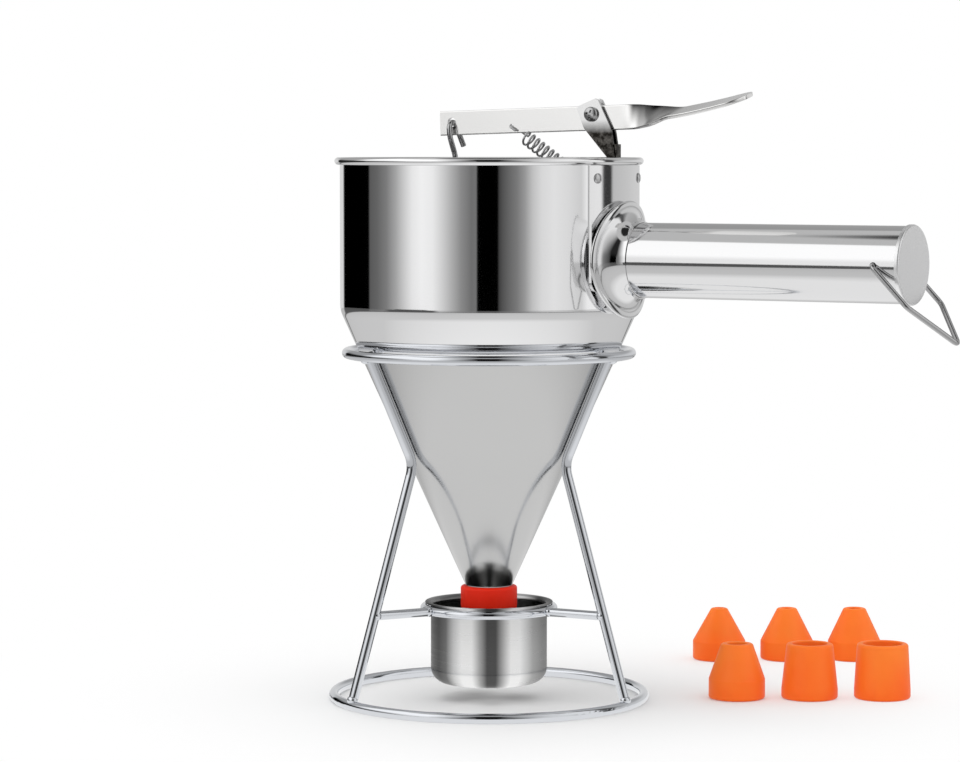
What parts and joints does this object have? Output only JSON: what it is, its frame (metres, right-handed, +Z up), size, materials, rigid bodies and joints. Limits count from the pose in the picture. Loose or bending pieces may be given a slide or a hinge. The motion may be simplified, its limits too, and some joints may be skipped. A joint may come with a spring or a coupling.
{
  "type": "pancake batter dispenser",
  "caption": "Hand-held steel funnel with a straight side handle and a lever-worked plug valve, resting in a wire stand over a drip cup, with spare push-on silicone nozzles standing beside it.",
  "frame": {"origin": "on the floor, at the middle of the stand's base ring", "axes": "+X along the handle, away from the funnel; +Z up; +Y to the side where the spare nozzles stand"},
  "size_m": [0.2992, 0.2785, 0.2734],
  "materials": {
    "stand_wire": "bright plated wire",
    "cup_steel": "fine satin, polished lip",
    "funnel_steel": "polished bowl, satin cone",
    "spigot_steel": "polished",
    "red_silicone": "satin silicone",
    "plate_steel": "polished",
    "flange_steel": "polished",
    "handle_steel": "polished",
    "cap_steel": "satin",
    "bail_wire": "drawn wire",
    "bracket_steel": "pressed sheet",
    "rivet_steel": "satin",
    "screw_steel": "machined",
    "lever_steel": "fine satin",
    "rod_wire": "drawn wire",
    "plug_rubber": "matt",
    "spring_wire": "spring wire",
    "orange_silicone": "satin silicone"
  },
  "bodies": {
    "stand": {"base_ring": "stand_wire", "top_ring": "stand_wire", "leg_handle_side": "stand_wire", "leg_left": "stand_wire", "leg_right": "stand_wire", "cup_ring": "stand_wire", "cup_struts": "stand_wire", "nozzle_fine": "orange_silicone", "nozzle_small": "orange_silicone", "nozzle_medium": "orange_silicone", "nozzle_large": "orange_silicone", "nozzle_wide": "orange_silicone", "nozzle_full": "orange_silicone"},
    "funnel": {"funnel_body": "funnel_steel", "outlet_spigot": "spigot_steel", "mounted_nozzle": "red_silicone", "backing_plate": "plate_steel", "handle_flange": "flange_steel", "handle_tube": "handle_steel", "handle_cap": "cap_steel", "lever_bracket": "bracket_steel", "bracket_rivets": "rivet_steel", "pivot_screw": "screw_steel", "pivot_nut": "screw_steel", "valve_spring": "spring_wire"},
    "lever": {"thumb_lever": "lever_steel"},
    "stem": {"valve_rod": "rod_wire", "valve_plug": "plug_rubber"},
    "bail": {"hanging_bail": "bail_wire"},
    "cup": {"drip_cup": "cup_steel"}
  },
  "joints": [
    {"name": "funnel_lift", "type": "slide", "parent": "stand", "child": "funnel", "axis": [0, 0, 1], "range_m": [0, 0.13]},
    {"name": "lever_pivot", "type": "hinge", "parent": "funnel", "child": "lever", "pos_m": [0.0536, 0, 0.26382], "axis": [0, 1, 0], "range_deg": [0, 16], "stiffness_Nm_per_rad": 0.5, "springref_deg": -17.19, "deforming": ["valve_spring"]},
    {"name": "stem_hook", "type": "hinge", "parent": "lever", "child": "stem", "pos_m": [-0.01894, 0, 0.26049], "axis": [0, 1, 0], "range_deg": [-17, 1]},
    {"name": "bail_swing", "type": "hinge", "parent": "funnel", "child": "bail", "pos_m": [0.19454, 0, 0.19982], "axis": [0, 1, 0], "range_deg": [-175, 85]},
    {"name": "cup_lift", "type": "slide", "parent": "stand", "child": "cup", "axis": [0, 0, 1], "range_m": [0, 0.014]}
  ],
  "couplings": [
    {"joint": "stem_hook", "follows": "lever_pivot", "ratio": -1}
  ]
}
